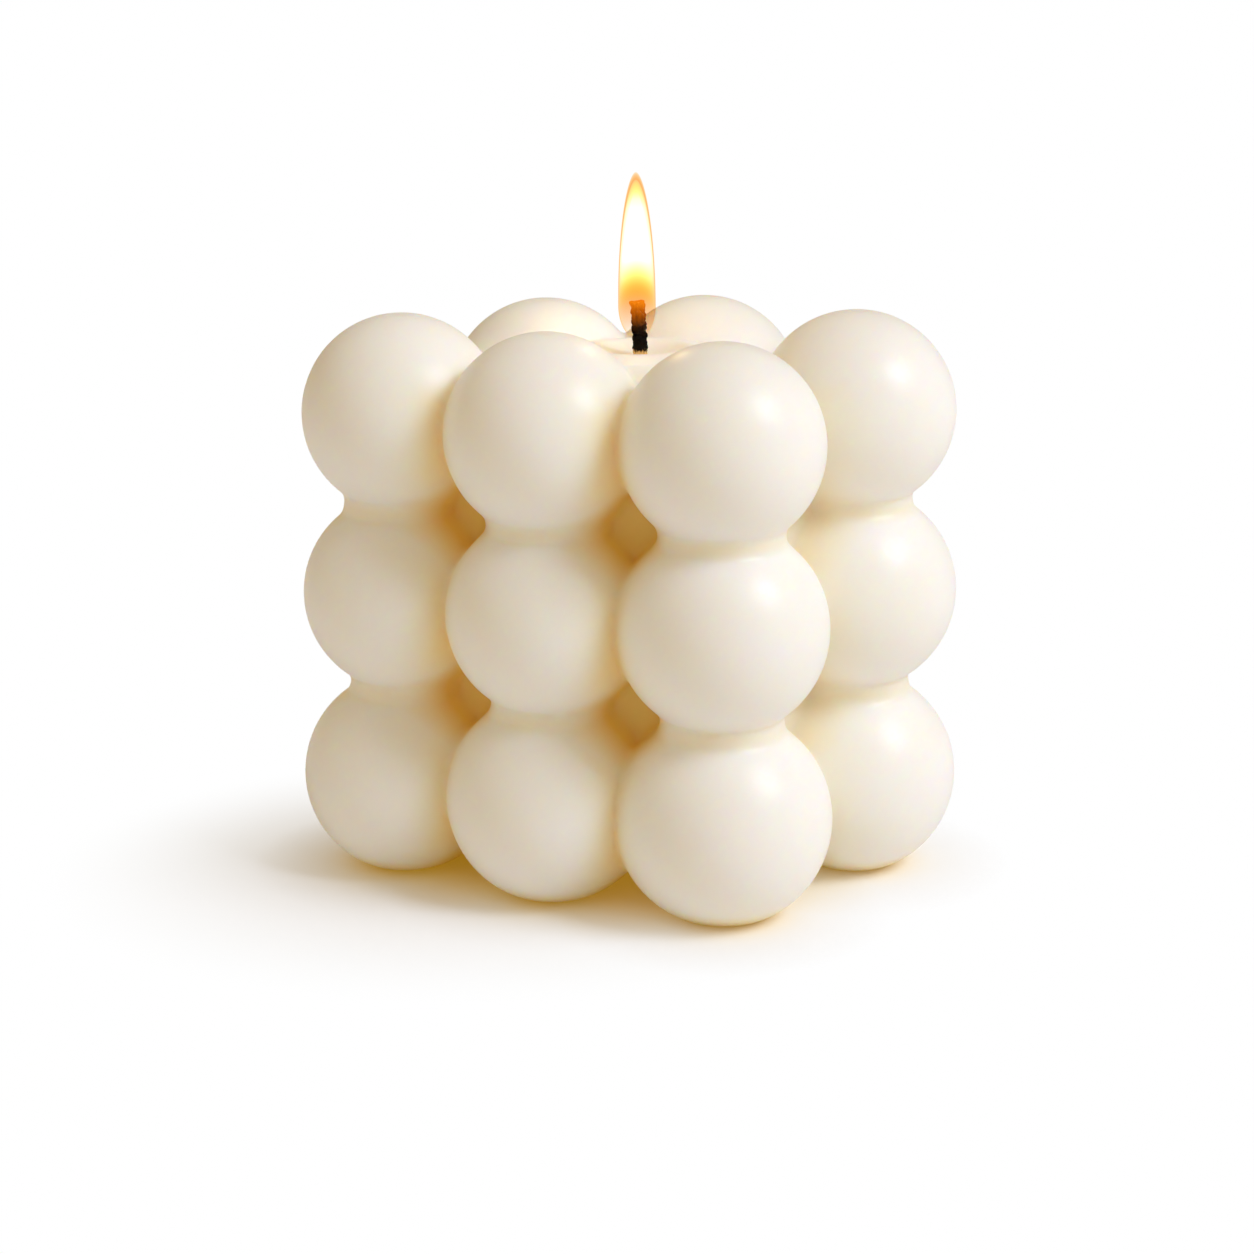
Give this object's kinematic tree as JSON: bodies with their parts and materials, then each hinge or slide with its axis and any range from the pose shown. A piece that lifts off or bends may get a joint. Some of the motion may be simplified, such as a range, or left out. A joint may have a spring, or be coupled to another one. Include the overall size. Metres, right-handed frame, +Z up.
{
  "type": "bubble cube candle",
  "caption": "Lit block candle cast as columns of stacked wax balls, with a shallow melted pool, a cotton wick and a slim flame.",
  "frame": {"origin": "on the standing surface, halfway along the middle row of columns, on the foot of the column that holds the wick", "axes": "+Z up, +X to the right along the middle row, +Y away from the side that the picture shows"},
  "size_m": [0.0702, 0.05, 0.0745],
  "materials": {
    "cast_wax": "satin ivory wax",
    "cotton_wick": "charred braided cotton",
    "burning_gas": "glowing gas"
  },
  "bodies": {
    "root": {"wax_body": "cast_wax", "wick": "cotton_wick", "flame": "burning_gas"}
  },
  "joints": []
}
